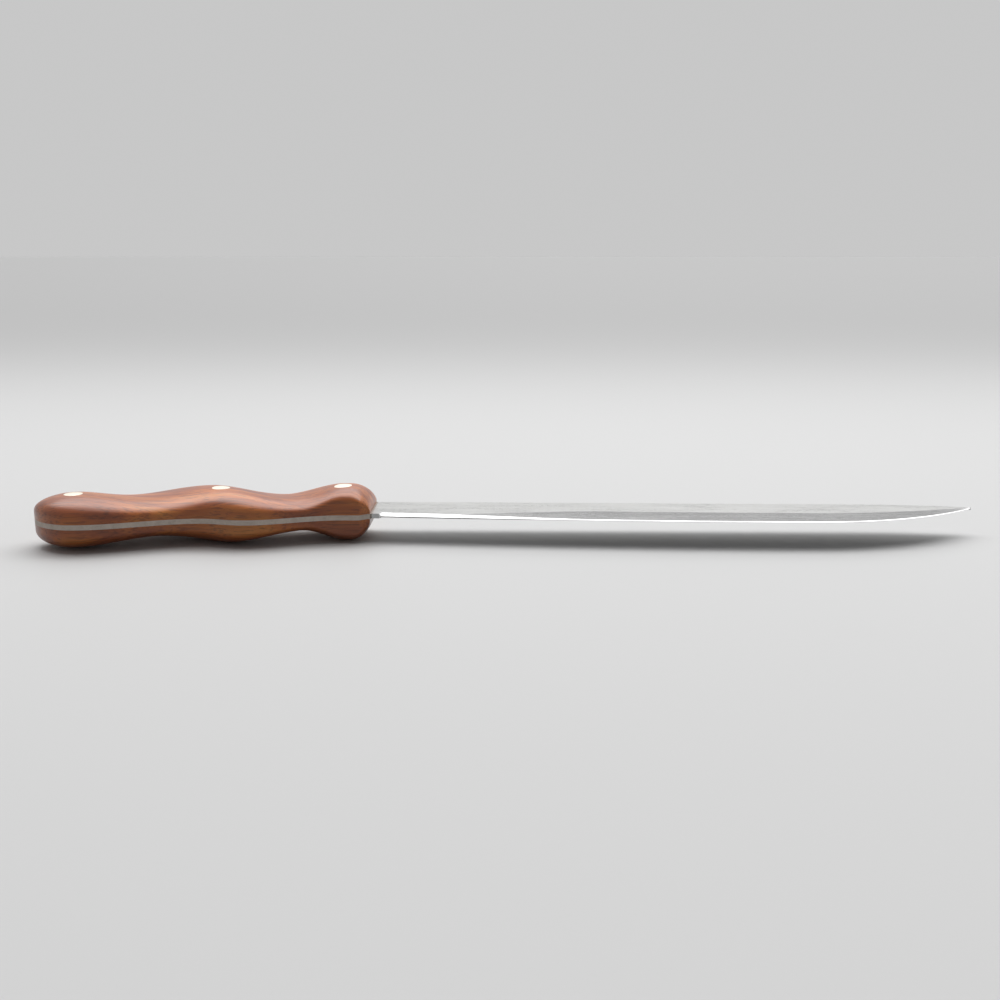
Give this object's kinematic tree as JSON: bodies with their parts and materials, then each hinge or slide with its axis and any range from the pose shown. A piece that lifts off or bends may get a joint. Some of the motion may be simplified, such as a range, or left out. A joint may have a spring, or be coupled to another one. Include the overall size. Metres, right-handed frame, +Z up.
{
  "type": "carving knife",
  "caption": "Full tang carving knife with a long slim blade and contoured wood handle scales held by flush round rivets.",
  "frame": {"origin": "middle of the knife's box, at the level of the surface it lies on", "axes": "+X along the knife towards the tip, -Y towards the cutting edge, +Z up through the upper scale"},
  "size_m": [0.3296, 0.0376, 0.0186],
  "materials": {
    "blade_steel": "satin stainless steel, fine lengthwise brushing, bright sharpened edge",
    "handle_wood": "sealed red-brown hardwood, glossy",
    "rivet_metal": "pale nickel silver, ground flush and polished with the wood"
  },
  "bodies": {
    "root": {"blade": "blade_steel", "upper_scale": "handle_wood", "lower_scale": "handle_wood", "butt_rivet_sleeve": "rivet_metal", "middle_rivet_sleeve": "rivet_metal", "front_rivet_sleeve": "rivet_metal", "butt_rivet_pin": "rivet_metal", "middle_rivet_pin": "rivet_metal", "front_rivet_pin": "rivet_metal"}
  },
  "joints": []
}
